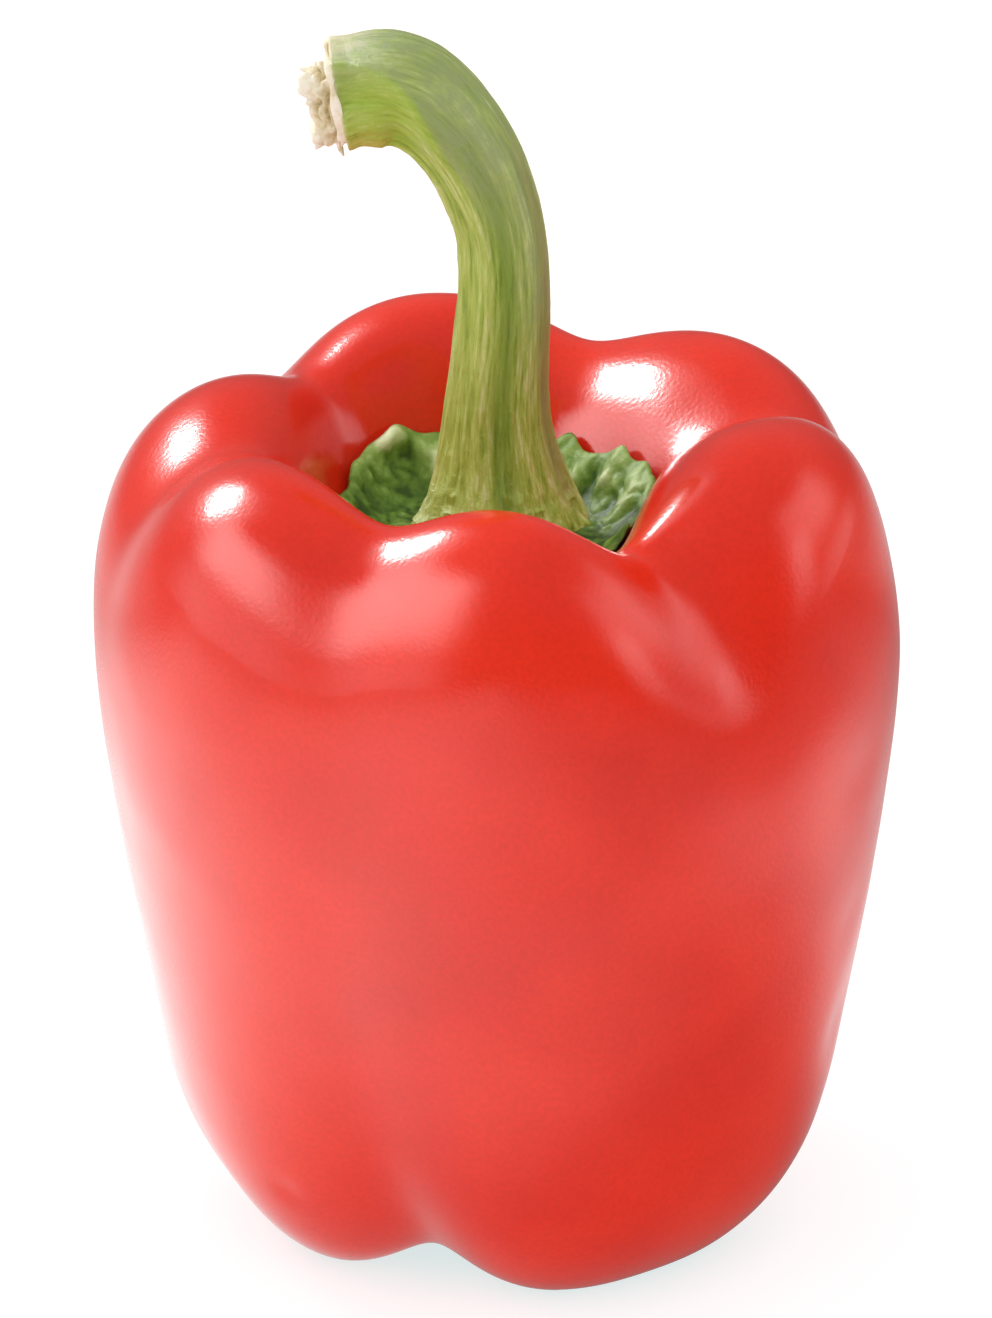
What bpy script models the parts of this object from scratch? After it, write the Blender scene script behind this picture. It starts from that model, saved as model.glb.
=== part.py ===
"""Red bell pepper with its stalk, as picked, standing on its feet.

Four pieces: the fruit (one closed solid), the calyx that sits in the hollow of
its shoulders, the hooked stalk, and the dry torn end where it was picked.
"""

import math

import bmesh
import bpy
import numpy as np

# ---------------------------------------------------------------- driving dimensions
NAME = "bell_pepper"

FRUIT_WIDTH = 0.082          # widest part of the fruit, metres
U = FRUIT_WIDTH / 100.0      # every share below is in hundredths of that width
FOOT_CUT = -0.3              # height, in shares, of the plane the feet rest on
GAP = 0.0003                 # clearance between neighbouring pieces, metres

FRUIT_COLUMNS = 72
FRUIT_RINGS = 46

# half outline of the fruit, bowl floor to blossom end: (radius, height) in shares
OUTLINE = (
    (0, 89), (9, 89), (13.8, 90), (17.2, 95.6), (21.8, 102.4), (30.2, 108.2),
    (39.5, 108), (46.8, 101.5), (50.2, 88), (50.2, 73), (48.6, 57), (46.2, 41),
    (43.8, 25), (40, 10), (29.5, -3.0), (18, -2.8), (9, 8), (0, 10),
)

# stretches of the outline, in outline points: (from, to, how softly each one fades)
WALL = (1.8, 4.4, 0.022)
CREST = (2.7, 6.9, 0.030)
TOP = (2.1, 7.9, 0.032)
SHOULDER = (6.9, 9.4, 0.022)
FLANK = (8.2, 12.3, 0.030)
FOOT = (12.3, 16.5, 0.030)

# lobes: azimuth at shoulder and foot, crest lift, then wall, crest, shoulder, flank, foot shares
LOBES = (
    (227, 230, 1.2, 0.00, -0.03, 0.020, 0.002, 0.00),
    (166, 182, 1.2, 0.00, -0.10, 0.032, -0.018, -0.04),
    (106, 100, 3.2, 0.00, -0.09, 0.010, 0.000, -0.01),
    (41, 48, 0.7, -0.14, 0.02, 0.034, 0.008, 0.02),
    (338, 328, 2.3, -0.13, 0.01, 0.004, 0.022, 0.05),
    (274, 284, 1.5, 0.00, -0.01, 0.000, 0.000, 0.02),
)

# grooves: azimuth at shoulder, flank and foot, width, then depth at each of the three
GROOVES = (
    (247, 246, 255, 14, 7.8, 2.2, 8.2),
    (192, 194, 204, 15, 6.8, 0.3, 1.2),
    (137, 139, 140, 14, 8.5, 1.3, 8.0),
    (70, 71, 72, 14, 7.6, 0.7, 1.5),
    (12, 9, 8, 14, 8.5, 1.5, 8.0),
    (296, 314, 308, 13, 13.0, 0.3, 0.5),
)
FOOT_NARROWING = 0.3         # share by which each groove narrows towards the foot
LOBE_FOCUS = 6.0             # how narrowly each lobe acts round the fruit
LOBE_TURN = (0.3, 0.5)       # where a lobe starts to turn to its foot azimuth, and over how much
GROOVE_UPPER = (0.25, 0.4)   # the same for a groove, shoulder to flank
GROOVE_LOWER = (0.6, 0.3)    # and flank to foot
CALM_RADIUS = 14             # grooves fade out inside this radius
GROOVE_SOFTNESS = 0.25       # rounding of the bottom of each groove at the crest
GROOVE_FADING = 0.2          # how much rounder it grows below the crest
GROOVE_ROUNDING = (0.28, 0.14)  # where it starts to grow rounder, and over how much
GROOVE_DEPTH_SHARE = 1.3     # the depths above are reached at this share of the bottom

CALYX_COLUMNS = 60
CALYX_RINGS = 16
CALYX_REACH = 0.164          # share of the outline covered, centre to mean rim
CALYX_THICKNESS = 1.7
CALYX_EDGE = 5               # the higher, the blunter the rim
CALYX_CLEARANCE = 1.6        # height above the bowl, in gaps
CALYX_CURL = (0.7, 1.5)      # where the rim starts to rise, and how steeply
CALYX_TIP_FOCUS = 16         # how narrow each point is
CALYX_TIPS = (
    (26, 0.042), (62, 0.030), (98, 0.014), (133, 0.036), (190, 0.010), (244, 0.008), (300, 0.012),
)

STALK_RINGS = 34             # sections along the stalk
STALK_BEVEL_RESOLUTION = 10
# stalk centreline and diameter, millimetres: (across, height, diameter)
STALK_PATH = (
    (0.7, 75.9, 18.0), (0.7, 77.0, 16.4), (0.6, 78.6, 14.9), (0.5, 80.8, 13.4), (0.3, 84.0, 11.8),
    (0.2, 88.0, 10.5), (0.5, 92.5, 9.8), (0.9, 97.0, 9.7), (1.0, 101.5, 9.4), (0.8, 106.0, 9.0),
    (-0.2, 110.2, 9.1), (-2.1, 114.4, 9.7), (-4.7, 118.0, 10.5), (-8.0, 121.0, 11.6),
    (-10.9, 121.8, 11.9), (-13.6, 121.6, 11.2), (-15.7, 121.2, 10.4),
)

TIP_COLUMNS = 28
TIP_RINGS = 18
TIP_LENGTH = 3.3             # millimetres the dry end stands out beyond the stalk
TIP_RADIUS = 4.4             # millimetres
TIP_DROP = 0.9               # millimetres the pad sits below the stalk's centreline
TIP_FLATTENING = 0.88        # front to back against up and down
TIP_LUMPS = ((3, 0.10, 0.6), (7, 0.07, 2.0))  # lumps round the edge: how many, how big, phase
TIP_SWELLING = (2, 0.12, 1.0)  # the same for how far the pad stands out
TIP_FLAP = (0.24, 6, 3.0)    # hanging flap: how much it adds, how narrow, at what angle
TIP_BLUNTNESS = 0.6          # the lower, the blunter the pad
TIP_BULGE = (0.72, 0.5)      # where the pad starts to stand out, and over how much

# colours (linear) and roughness
SKIN_RED = ((0.66, 0.022, 0.012, 1.0), 0.16)
CALYX_GREEN = ((0.075, 0.14, 0.035, 1.0), 0.45)
STALK_GREEN = ((0.22, 0.32, 0.045, 1.0), 0.5)
DRY_CREAM = ((0.62, 0.53, 0.36, 1.0), 0.85)


# ---------------------------------------------------------------- helpers
def smoothstep(value):
    """Ease from 0 to 1 with level ends."""
    value = np.clip(value, 0.0, 1.0)
    return value * value * (3.0 - 2.0 * value)


def spline(points, share, mirror):
    """Uniform cubic B-spline through the control polygon at each share of its length."""
    points = np.asarray(points, float)
    if mirror:
        first = points[1] * (-1, 1)
        last = points[-2] * (-1, 1)
    else:
        first = 2 * points[0] - points[1]
        last = 2 * points[-1] - points[-2]
    padded = np.vstack([first, points, last])
    spans = len(points) - 1
    x = np.clip(share, 0, 1) * spans
    i = np.minimum(x.astype(int), spans - 1)
    f = (x - i)[:, None]
    weights = ((1 - f) ** 3, 3 * f ** 3 - 6 * f ** 2 + 4,
               -3 * f ** 3 + 3 * f ** 2 + 3 * f + 1, f ** 3)
    return sum(w * padded[i + k] for k, w in enumerate(weights)) / 6


def ramp_from(share, limits):
    """Ease from 0 to 1, starting at the first limit and taking the length of the second."""
    start, length = limits
    return smoothstep((share - start) / length)


def plateau(share, stretch):
    """One inside a stretch of the outline, fading to nothing outside it."""
    low, high, soft = stretch
    spans = len(OUTLINE) - 1
    rise = 1 / (1 + np.exp(-(share - low / spans) / soft))
    fall = 1 / (1 + np.exp((share - high / spans) / soft))
    return rise * fall


def outline_at(share):
    """Radius, height and outward normal of the fruit outline at each share."""
    step = 0.002
    here = spline(OUTLINE, share, True)
    ahead = spline(OUTLINE, np.minimum(share + step, 1), True)
    behind = spline(OUTLINE, np.maximum(share - step, 0), True)
    tangent = ahead - behind
    tangent /= np.linalg.norm(tangent, axis=1, keepdims=True)
    return here, np.stack([-tangent[:, 1], tangent[:, 0]], 1)


def fruit_surface(share, azimuth):
    """Fruit skin: the outline turned about Z, its lobes scaled out and its grooves pressed in."""
    (radius, height), (normal_r, normal_z) = (part.T for part in outline_at(share))
    bands = [plateau(share, stretch) for stretch in (WALL, CREST, SHOULDER, FLANK, FOOT)]
    flank, foot = bands[-2:]
    top = plateau(share, TOP)
    slide = ramp_from(share, LOBE_TURN)

    pulls = []
    for at_top, at_foot, *_ in LOBES:
        centre = np.radians(at_top + (at_foot - at_top) * slide)
        pulls.append(np.exp(LOBE_FOCUS * (np.cos(azimuth - centre) - 1)))
    total = sum(pulls)
    scale = 1.0
    lift = 0.0
    for pull, (_, _, up, *shares) in zip(pulls, LOBES):
        pull = pull / total
        lift = lift + pull * up * top
        for amount, where in zip(shares, bands):
            scale = scale + pull * amount * where

    press = 0.0
    fade = smoothstep(radius / CALM_RADIUS)
    soft = GROOVE_SOFTNESS + GROOVE_FADING * ramp_from(share, GROOVE_ROUNDING)
    deepest = GROOVE_DEPTH_SHARE * (1 - np.sqrt(1 - np.exp(-soft ** 2)))
    upper = ramp_from(share, GROOVE_UPPER)
    lower = ramp_from(share, GROOVE_LOWER)
    narrowing = 1 - FOOT_NARROWING * lower
    for at_top, at_flank, at_foot, width, top_in, flank_in, foot_in in GROOVES:
        centre = np.radians(at_top + (at_flank - at_top) * upper + (at_foot - at_flank) * lower)
        across = 2 * radius * np.sin((azimuth - centre) / 2) / (width * narrowing)
        dip = (1 - np.sqrt(1 - np.exp(-(across ** 2 + soft ** 2)))) / deepest
        press = press + dip * fade * (top_in * top + flank_in * flank + foot_in * foot)

    out = np.maximum(radius * scale - normal_r * press, 0)
    up = height + lift - normal_z * press
    return np.stack([out * np.cos(azimuth), out * np.sin(azimuth), up], 1)


def fruit_normal(share, azimuth):
    """Outward unit normal of the fruit skin, from small steps along and round it."""
    step = 0.003
    share = np.clip(share, step, 1 - step)
    along = fruit_surface(share + step, azimuth) - fruit_surface(share - step, azimuth)
    round_it = fruit_surface(share, azimuth + step) - fruit_surface(share, azimuth - step)
    normal = np.cross(along, round_it)
    return normal / np.maximum(np.linalg.norm(normal, axis=1, keepdims=True), 1e-9)


def sphere_mesh(name, columns, rings, shape):
    """A sphere whose points are moved to shape(share from the top pole, azimuth)."""
    bm = bmesh.new()
    bmesh.ops.create_uvsphere(bm, u_segments=columns, v_segments=rings, radius=1.0)
    points = np.array([vert.co for vert in bm.verts])
    share = np.arccos(np.clip(points[:, 2], -1, 1)) / math.pi
    share = np.round(share * rings) / rings
    azimuth = np.arctan2(points[:, 1], points[:, 0])
    placed = shape(share, azimuth)
    for vert, place in zip(bm.verts, placed):
        vert.co = place
    if bm.calc_volume(signed=True) < 0:
        bmesh.ops.reverse_faces(bm, faces=bm.faces)
    bmesh.ops.triangulate(bm, faces=bm.faces)
    mesh = bpy.data.meshes.new(name)
    bm.to_mesh(mesh)
    bm.free()
    mesh.shade_smooth()
    return mesh


def add_part(name, shape, finish, collection):
    """Wrap a mesh or curve as a named object with its own material."""
    colour, roughness = finish
    material = bpy.data.materials.new(name + "_material")
    material.use_nodes = True
    shader = material.node_tree.nodes["Principled BSDF"]
    shader.inputs["Base Color"].default_value = colour
    shader.inputs["Roughness"].default_value = roughness
    shape.materials.append(material)
    part = bpy.data.objects.new(name, shape)
    collection.objects.link(part)
    return part


# ---------------------------------------------------------------- pieces
def fruit_points(share, azimuth):
    """Fruit skin in metres, with its feet cut level where they rest."""
    points = fruit_surface(share, azimuth)
    points[:, 2] = np.maximum(points[:, 2] - FOOT_CUT, 0)
    return points * U


def calyx_rim(azimuth):
    """Share of the outline the calyx reaches, drawn out to a point at each tip."""
    reach = CALYX_REACH
    for tip, length in CALYX_TIPS:
        away = np.cos(azimuth - math.radians(tip)) - 1
        reach = reach + length * np.exp(away * CALYX_TIP_FOCUS)
    return reach


def calyx_points(share, azimuth):
    """A thin star lying just clear of the bowl, upper and lower faces meeting at its rim."""
    out = 1 - np.abs(1 - 2 * share)
    at = np.maximum(out * calyx_rim(azimuth), 1e-4)
    base = fruit_surface(at, azimuth)
    normal = fruit_normal(at, azimuth)
    normal[out < 0.02] = (0, 0, 1)
    thick = CALYX_THICKNESS * np.sqrt(np.maximum(1 - out ** CALYX_EDGE, 0)) * (share < 0.5)
    curl_start, curl_slope = CALYX_CURL
    lifted = GAP * CALYX_CLEARANCE / U + curl_slope * np.maximum(out - curl_start, 0)
    points = base + normal * (lifted + thick)[:, None]
    points[:, 2] -= FOOT_CUT
    return points * U


def stalk_frame(share):
    """Centre, direction of growth and radius of the stalk at each share of its length, metres."""
    step = 0.004
    here = spline(STALK_PATH, share, False) / 1000
    ahead = spline(STALK_PATH, np.minimum(share + step, 1), False) / 1000
    behind = spline(STALK_PATH, np.maximum(share - step, 0), False) / 1000
    run = (ahead - behind)[:, :2]
    run /= np.linalg.norm(run, axis=1, keepdims=True)
    return here[:, :2], run, here[:, 2] / 2


def make_stalk():
    """The stalk: a round tube swept along the hooked centreline, with filled ends."""
    centre, _, radius = stalk_frame(np.linspace(0, 1, STALK_RINGS))
    curve = bpy.data.curves.new("stem", "CURVE")
    curve.dimensions = "3D"
    curve.bevel_depth = 1.0
    curve.bevel_resolution = STALK_BEVEL_RESOLUTION
    curve.use_fill_caps = True
    line = curve.splines.new("POLY")
    line.points.add(STALK_RINGS - 1)
    for point, (x, z), size in zip(line.points, centre, radius):
        point.co = (x, 0, z, 1)
        point.radius = size
    return curve


def tip_points(share, azimuth):
    """A lumpy torn pad over the end of the stalk, with a flap hanging at its lower edge."""
    centre, run, _ = stalk_frame(np.ones_like(share))
    out = np.sin(share * math.pi)
    ragged = 1 + sum(size * np.cos(count * azimuth + phase) for count, size, phase in TIP_LUMPS)
    flap_size, flap_focus, flap_at = TIP_FLAP
    flap = flap_size * np.exp(flap_focus * (np.cos(azimuth - flap_at) - 1))
    radius = TIP_RADIUS * (ragged + flap) * np.abs(out) ** TIP_BLUNTNESS
    bulge_start, bulge_length = TIP_BULGE
    bulge = smoothstep((bulge_start - share) / bulge_length)
    count, size, phase = TIP_SWELLING
    lumps = 1 + size * np.cos(count * azimuth + phase) * out
    length = TIP_LENGTH * bulge * lumps
    side = (radius * np.cos(azimuth) - TIP_DROP) / 1000
    start = GAP + length / 1000
    x = centre[:, 0] + run[:, 0] * start + run[:, 1] * side
    y = radius * np.sin(azimuth) * TIP_FLATTENING / 1000
    z = centre[:, 1] + run[:, 1] * start - run[:, 0] * side
    return np.stack([x, y, z], 1)


def build():
    """Make the four pieces and set the origin under the middle of the fruit."""
    for old in list(bpy.data.objects):
        bpy.data.objects.remove(old, do_unlink=True)
    collection = bpy.data.collections.new(NAME)
    bpy.context.scene.collection.children.link(collection)

    fruit = sphere_mesh("fruit", FRUIT_COLUMNS, FRUIT_RINGS, fruit_points)
    calyx = sphere_mesh("calyx", CALYX_COLUMNS, CALYX_RINGS, calyx_points)
    stalk = make_stalk()
    dry_end = sphere_mesh("dry_end", TIP_COLUMNS, TIP_RINGS, tip_points)

    skin = np.array([vert.co for vert in fruit.vertices])
    middle = (skin.min(0) + skin.max(0)) / 2
    for name, shape, finish in (("fruit", fruit, SKIN_RED), ("calyx", calyx, CALYX_GREEN),
                                ("stem", stalk, STALK_GREEN), ("dry_end", dry_end, DRY_CREAM)):
        part = add_part(name, shape, finish, collection)
        part.location = (-middle[0], -middle[1], 0)


build()
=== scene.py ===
import math

import bpy
import numpy as np
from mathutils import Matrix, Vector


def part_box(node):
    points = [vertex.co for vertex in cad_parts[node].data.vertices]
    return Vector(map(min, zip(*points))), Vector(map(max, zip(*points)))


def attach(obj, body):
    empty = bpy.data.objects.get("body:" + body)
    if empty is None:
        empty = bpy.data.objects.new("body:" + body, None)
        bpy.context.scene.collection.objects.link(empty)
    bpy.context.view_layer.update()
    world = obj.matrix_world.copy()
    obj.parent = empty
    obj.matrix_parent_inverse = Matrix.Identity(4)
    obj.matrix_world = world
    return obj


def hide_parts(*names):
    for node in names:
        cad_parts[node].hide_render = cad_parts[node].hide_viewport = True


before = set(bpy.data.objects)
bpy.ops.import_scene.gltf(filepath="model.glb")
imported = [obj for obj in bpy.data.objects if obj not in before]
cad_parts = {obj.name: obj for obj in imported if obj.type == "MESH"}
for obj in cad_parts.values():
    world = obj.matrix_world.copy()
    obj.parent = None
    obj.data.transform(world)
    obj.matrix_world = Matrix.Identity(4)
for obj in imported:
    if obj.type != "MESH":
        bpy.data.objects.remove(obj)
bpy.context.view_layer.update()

# ---------------------------------------------------------------------------
# Fruit: one swollen berry of six lobes in three pairs, grown as a single skin over
# thick flesh. It stands on three feet, and its shoulders roll over into a deep bowl.
# Its skin is smooth, tight and waxy, so it shines like wet enamel.
# ---------------------------------------------------------------------------
FRUIT_ROWS = 300
FRUIT_COLUMNS = 330

# half outline, bowl floor to blossom end: (radius, height) in hundredths of the fruit's width
OUTLINE = (
    (0, 89), (9, 89), (13.8, 90), (17.2, 95.6), (21.8, 102.4), (30.2, 108.2),
    (39.5, 108), (46.8, 101.5), (50.2, 88), (50.2, 73), (48.6, 57), (46.2, 41),
    (43.8, 25), (40, 10), (29.5, -3.0), (18, -2.8), (9, 8), (0, 10),
)
FOOT_CUT = -0.3             # height of the plane the feet rest on
OUTLINE_LENGTH = 290        # how long the outline is, in the same shares

# stretches of the outline, in outline points: (from, to, how softly each one fades)
WALL = (1.8, 4.4, 0.022)
CREST = (2.7, 6.9, 0.030)
TOP = (2.1, 7.9, 0.032)
SHOULDER = (6.9, 9.4, 0.022)
FLANK = (8.2, 12.3, 0.030)
FOOT = (12.3, 16.5, 0.030)

# lobes: azimuth at shoulder and foot, crest lift, then wall, crest, shoulder, flank, foot shares
LOBES = (
    (227, 230, 1.2, 0.00, -0.03, 0.020, 0.002, 0.00),
    (166, 182, 1.2, 0.00, -0.10, 0.032, -0.018, -0.04),
    (106, 100, 3.2, 0.00, -0.09, 0.010, 0.000, -0.01),
    (41, 48, 0.7, -0.14, 0.02, 0.034, 0.008, 0.02),
    (338, 328, 2.3, -0.13, 0.01, 0.004, 0.022, 0.05),
    (274, 284, 1.5, 0.00, -0.01, 0.000, 0.000, 0.02),
)
LOBE_FOCUS = 6.0            # how narrowly each lobe acts round the fruit
LOBE_TURN = (0.3, 0.5)      # where a lobe starts to turn to its foot azimuth, and over how much

# grooves: azimuth at shoulder, flank and foot, width, then depth at each of the three
GROOVES = (
    (247, 246, 255, 14, 7.8, 2.2, 8.2),
    (192, 194, 204, 15, 6.8, 0.3, 1.2),
    (137, 139, 140, 14, 8.5, 1.3, 8.0),
    (70, 71, 72, 14, 7.6, 0.7, 1.5),
    (12, 9, 8, 14, 8.5, 1.5, 8.0),
    (296, 314, 308, 13, 13.0, 0.3, 0.5),
)
GROOVE_UPPER = (0.25, 0.4)  # where a groove turns from shoulder to flank, and over how much
GROOVE_LOWER = (0.6, 0.3)   # and from flank to foot
GROOVE_SOFTNESS = 0.25      # rounding of the bottom of each groove at the crest
GROOVE_FADING = 0.2         # how much rounder it grows below the crest
GROOVE_ROUNDING = (0.28, 0.14)
GROOVE_DEPTH_SHARE = 1.3    # the depths above are reached at this share of the bottom
FOOT_NARROWING = 0.3        # share by which each groove narrows towards the foot
CALM_RADIUS = 14            # grooves fade out inside this radius

# small dents of growth: (share of the outline, azimuth, half size, depth), both in shares
DENTS = (
    (0.752, 229, 1.5, 0.32), (0.585, 279, 1.4, 0.07), (0.552, 333, 4.0, 0.45),
    (0.630, 338, 3.5, 0.40), (0.690, 341, 3.0, 0.30), (0.540, 262, 7.0, 0.40),
    (0.600, 20, 5.0, 0.35), (0.560, 120, 4.0, 0.30), (0.680, 170, 3.0, 0.25),
)


def smoothstep(value):
    """Ease from 0 to 1 with level ends: 3x squared minus 2x cubed, clamped."""
    value = np.clip(value, 0.0, 1.0)
    return value * value * (3.0 - 2.0 * value)


def ease_from(share, limits):
    """Ease from 0 to 1, starting at the first limit and taking the length of the second."""
    start, length = limits
    return smoothstep((share - start) / length)


def spline(points, share, mirror):
    """Uniform cubic B-spline: each point is a weighted sum of four neighbouring controls."""
    points = np.asarray(points, float)
    if mirror:
        first, last = points[1] * (-1, 1), points[-2] * (-1, 1)
    else:
        first, last = 2 * points[0] - points[1], 2 * points[-1] - points[-2]
    padded = np.vstack([first, points, last])
    spans = len(points) - 1
    x = np.clip(share, 0, 1) * spans
    i = np.minimum(x.astype(int), spans - 1)
    f = (x - i)[..., None]
    weights = ((1 - f) ** 3, 3 * f ** 3 - 6 * f ** 2 + 4,
               -3 * f ** 3 + 3 * f ** 2 + 3 * f + 1, f ** 3)
    return sum(w * padded[i + k] for k, w in enumerate(weights)) / 6


def plateau(share, low, high, soft):
    """One between low and high, fading outside over the soft width: two logistic curves."""
    return 1 / (1 + np.exp((low - share) / soft)) / (1 + np.exp((share - high) / soft))


def ruffle(points, size, seed):
    """Smooth random heights, -1 to 1: random values at lattice corners, eased in between."""
    table = np.random.default_rng(seed).uniform(-1, 1, 4096)
    cell = np.asarray(points) / size
    base = np.floor(cell).astype(np.int64)
    part = smoothstep(cell - base)
    height = 0.0
    for corner in np.ndindex(2, 2, 2):
        near = base + corner
        key = (near[..., 0] * 73856093) ^ (near[..., 1] * 19349663) ^ (near[..., 2] * 83492791)
        weight = np.prod(np.where(np.array(corner) == 1, part, 1 - part), axis=-1)
        height = height + weight * table[key & 4095]
    return height


def fruit_surface(share, azimuth):
    """Skin: the outline turned about Z, scaled out at each lobe and pressed in at each groove."""
    step = 0.002
    here = spline(OUTLINE, share, True)
    run = spline(OUTLINE, np.minimum(share + step, 1), True) - spline(
        OUTLINE, np.maximum(share - step, 0), True)
    run /= np.linalg.norm(run, axis=-1, keepdims=True)
    radius, height = here[..., 0], here[..., 1]
    spans = len(OUTLINE) - 1
    wall, crest, top, shoulder, flank, foot = (
        plateau(share, low / spans, high / spans, soft)
        for low, high, soft in (WALL, CREST, TOP, SHOULDER, FLANK, FOOT))
    slide = ease_from(share, LOBE_TURN)

    pulls = []
    for at_top, at_foot, *_ in LOBES:
        centre = np.radians(at_top + (at_foot - at_top) * slide)
        pulls.append(np.exp(LOBE_FOCUS * (np.cos(azimuth - centre) - 1)))
    total = sum(pulls)
    scale, lift = 1.0, 0.0
    for pull, (_, _, up, *shares) in zip(pulls, LOBES):
        pull = pull / total
        lift = lift + pull * up * top
        for amount, where in zip(shares, (wall, crest, shoulder, flank, foot)):
            scale = scale + pull * amount * where

    press = 0.0
    fade = smoothstep(radius / CALM_RADIUS)
    upper = ease_from(share, GROOVE_UPPER)
    lower = ease_from(share, GROOVE_LOWER)
    narrowing = 1 - FOOT_NARROWING * lower
    soft = GROOVE_SOFTNESS + GROOVE_FADING * ease_from(share, GROOVE_ROUNDING)
    deepest = GROOVE_DEPTH_SHARE * (1 - np.sqrt(1 - np.exp(-soft ** 2)))
    for at_top, at_flank, at_foot, width, top_in, flank_in, foot_in in GROOVES:
        centre = np.radians(at_top + (at_flank - at_top) * upper + (at_foot - at_flank) * lower)
        across = 2 * radius * np.sin((azimuth - centre) / 2) / (width * narrowing)
        dip = (1 - np.sqrt(1 - np.exp(-(across ** 2 + soft ** 2)))) / deepest
        press = press + dip * fade * (top_in * top + flank_in * flank + foot_in * foot)
    for at, turn, size, depth in DENTS:
        along = (share - at) * OUTLINE_LENGTH / size
        across = 2 * radius * np.sin((azimuth - math.radians(turn)) / 2) / size
        press = press + depth * np.exp(-(along ** 2 + across ** 2) / 2)

    out = np.maximum(radius * scale + run[..., 1] * press, 0)
    up = height + lift - run[..., 0] * press
    return np.stack([out * np.cos(azimuth), out * np.sin(azimuth), up], -1)


def fruit_normal(share, azimuth):
    """Outward unit normal: cross product of small steps down the outline and round it."""
    step = 0.003
    share = np.clip(share, step, 1 - step)
    along = fruit_surface(share + step, azimuth) - fruit_surface(share - step, azimuth)
    round_it = fruit_surface(share, azimuth + step) - fruit_surface(share, azimuth - step)
    normal = np.cross(along, round_it)
    return normal / np.maximum(np.linalg.norm(normal, axis=-1, keepdims=True), 1e-9)


def closed_skin(name, points, **marks):
    """A closed mesh from a grid whose first and last rows are poles and whose columns wrap."""
    rows, columns, _ = points.shape
    verts = np.vstack([points[:1, 0], points[1:-1].reshape(-1, 3), points[-1:, 0]])
    ring = np.arange(columns)
    after = (ring + 1) % columns
    row = 1 + np.arange(rows - 3)[:, None] * columns
    quads = np.stack([row + ring, row + columns + ring, row + columns + after, row + after], -1)
    last = len(verts) - 1
    first_fan = np.stack([0 * ring, 1 + ring, 1 + after], -1)
    last_row = 1 + (rows - 3) * columns
    last_fan = np.stack([last_row + ring, 0 * ring + last, last_row + after], -1)
    mesh = bpy.data.meshes.new(name)
    faces = first_fan.tolist() + quads.reshape(-1, 4).tolist() + last_fan.tolist()
    mesh.from_pydata(verts.tolist(), [], faces)
    mesh.shade_smooth()
    for mark, values in marks.items():
        inner = values[1:-1].reshape(-1, *values.shape[2:])
        flat = np.concatenate([values[:1, 0], inner, values[-1:, 0]])
        kind = "FLOAT" if flat.ndim == 1 else "FLOAT_VECTOR"
        layer = mesh.attributes.new(mark, kind, "POINT")
        layer.data.foreach_set("value" if flat.ndim == 1 else "vector", flat.ravel())
    piece = bpy.data.objects.new(name, mesh)
    bpy.context.scene.collection.objects.link(piece)
    return piece


def linear(code):
    """sRGB hex to linear colour, by the standard two-part curve."""
    parts = [int(code[i:i + 2], 16) / 255 for i in (1, 3, 5)]
    return [c / 12.92 if c <= 0.04045 else ((c + 0.055) / 1.055) ** 2.4 for c in parts] + [1.0]


def add(tree, kind, inputs=None, **settings):
    """Adds one node, gives it its settings, and sets or links each named input."""
    node = tree.nodes.new(kind)
    for key, value in settings.items():
        setattr(node, key, value)
    for key, value in (inputs or {}).items():
        if isinstance(value, bpy.types.NodeSocket):
            tree.links.new(value, node.inputs[key])
        else:
            node.inputs[key].default_value = value
    return node


def ramp(tree, value, *stops):
    """A colour ramp through the given (position, hex colour or grey level) stops."""
    node = add(tree, "ShaderNodeValToRGB", {"Fac": value})
    band = node.color_ramp
    while len(band.elements) < len(stops):
        band.elements.new(0.5)
    for element, (place, tone) in zip(band.elements, stops):
        element.position = place
        element.color = linear(tone) if isinstance(tone, str) else (tone, tone, tone, 1)
    return node.outputs["Color"]


def new_material(name):
    """An empty node material with its Principled shader."""
    material = bpy.data.materials.new(name)
    material.use_nodes = True
    return material, material.node_tree, material.node_tree.nodes["Principled BSDF"]


share, azimuth = np.meshgrid(
    np.linspace(0, 1, FRUIT_ROWS), np.arange(FRUIT_COLUMNS) * 2 * math.pi / FRUIT_COLUMNS,
    indexing="ij")
skin = fruit_surface(share, azimuth)
even = fruit_normal(share, azimuth)
# slow swellings of the flesh under the skin: (height, distance across), in shares
BROAD_SWELLING = (0.30, 15)
SMALL_SWELLING = (0.05, 6)
swell = (BROAD_SWELLING[0] * ruffle(skin, BROAD_SWELLING[1], 3)
         + SMALL_SWELLING[0] * ruffle(skin, SMALL_SWELLING[1], 4))
# fine cross creases where the front right groove folds over the shoulder
CREASE_AT, CREASE_LENGTH = 0.375, 0.018      # along the outline
CREASE_AZIMUTH, CREASE_WIDTH = 302, 0.11     # degrees, then radians
CREASE_DEPTH, CREASE_SPACING = 0.10, 1.5
fold = np.exp(-((share - CREASE_AT) / CREASE_LENGTH) ** 2
              - ((azimuth - math.radians(CREASE_AZIMUTH)) / CREASE_WIDTH) ** 2)
swell = swell - CREASE_DEPTH * fold * (0.5 + 0.5 * ruffle(skin * (1, 1, 2.2), CREASE_SPACING, 5))
# both fade out at the feet, so they stay level, and at the middle of the bowl
FOOT_CALM, BOWL_CALM = 8, 12
calm = smoothstep(skin[..., 2] / FOOT_CALM)
skin = skin + even * (swell * calm * smoothstep(share * BOWL_CALM))[..., None]
skin[..., 2] = np.maximum(skin[..., 2] - FOOT_CUT, 0)

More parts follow.
